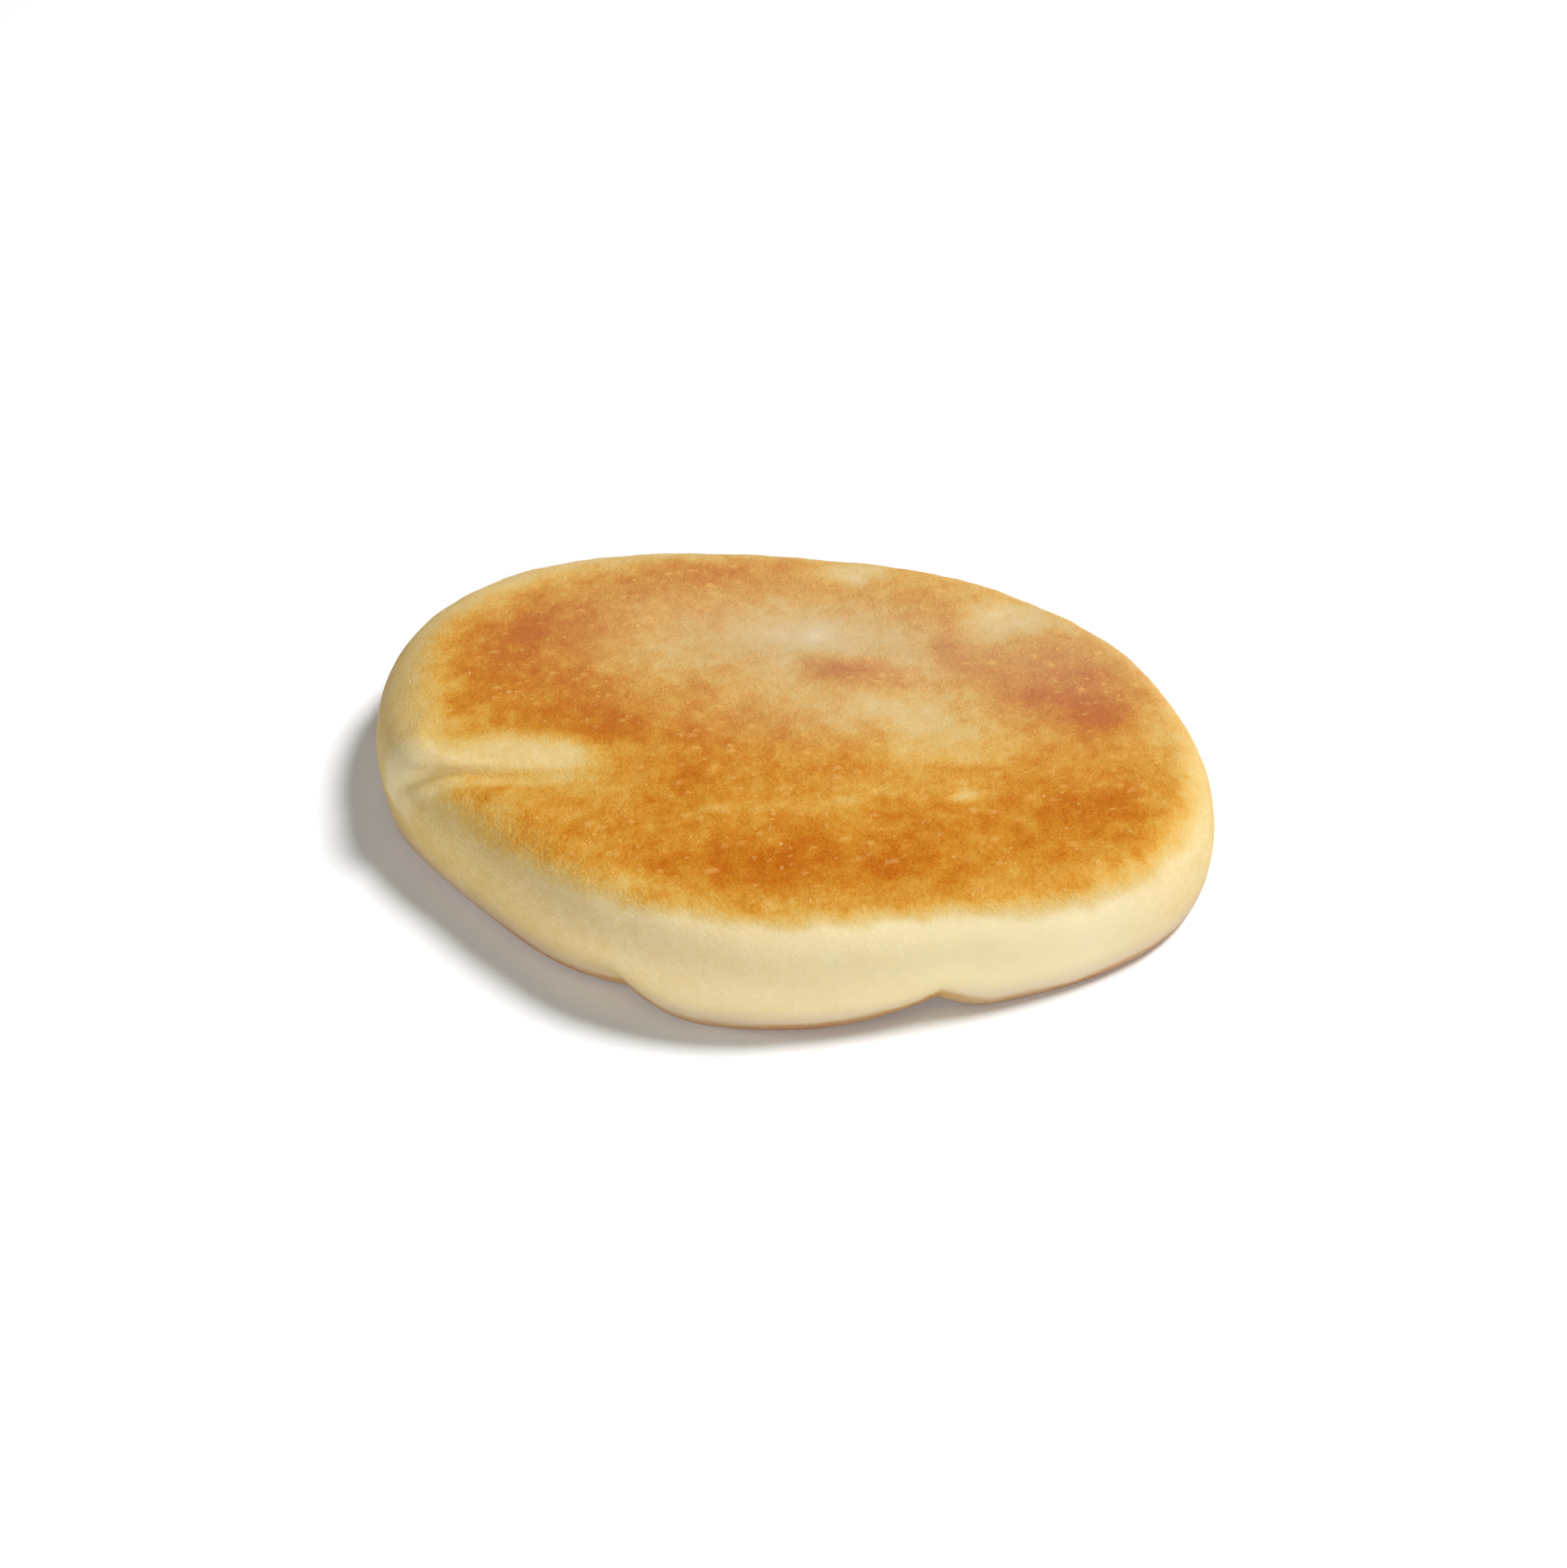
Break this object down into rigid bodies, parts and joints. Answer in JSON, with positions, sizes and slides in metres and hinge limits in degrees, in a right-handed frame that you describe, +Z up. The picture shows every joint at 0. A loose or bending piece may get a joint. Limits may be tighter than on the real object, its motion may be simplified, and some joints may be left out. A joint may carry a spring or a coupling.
{
  "type": "pita bread",
  "caption": "Thick pan-baked pita: an irregular round of dough with a browned top and base, pale sides, a crease on the left and small folds under its front.",
  "frame": {"origin": "bottom centre of the bread's box, on the surface it lies on", "axes": "+Z up through the thickness, -Y towards the folded front of the bread, +X to its right seen from there"},
  "size_m": [0.1404, 0.138, 0.019],
  "materials": {
    "crust": "baked dough, matt: browned in patches on the flat top and base, pale cream round the side, with small pale blisters"
  },
  "bodies": {
    "root": {"bread": "crust"}
  },
  "joints": []
}
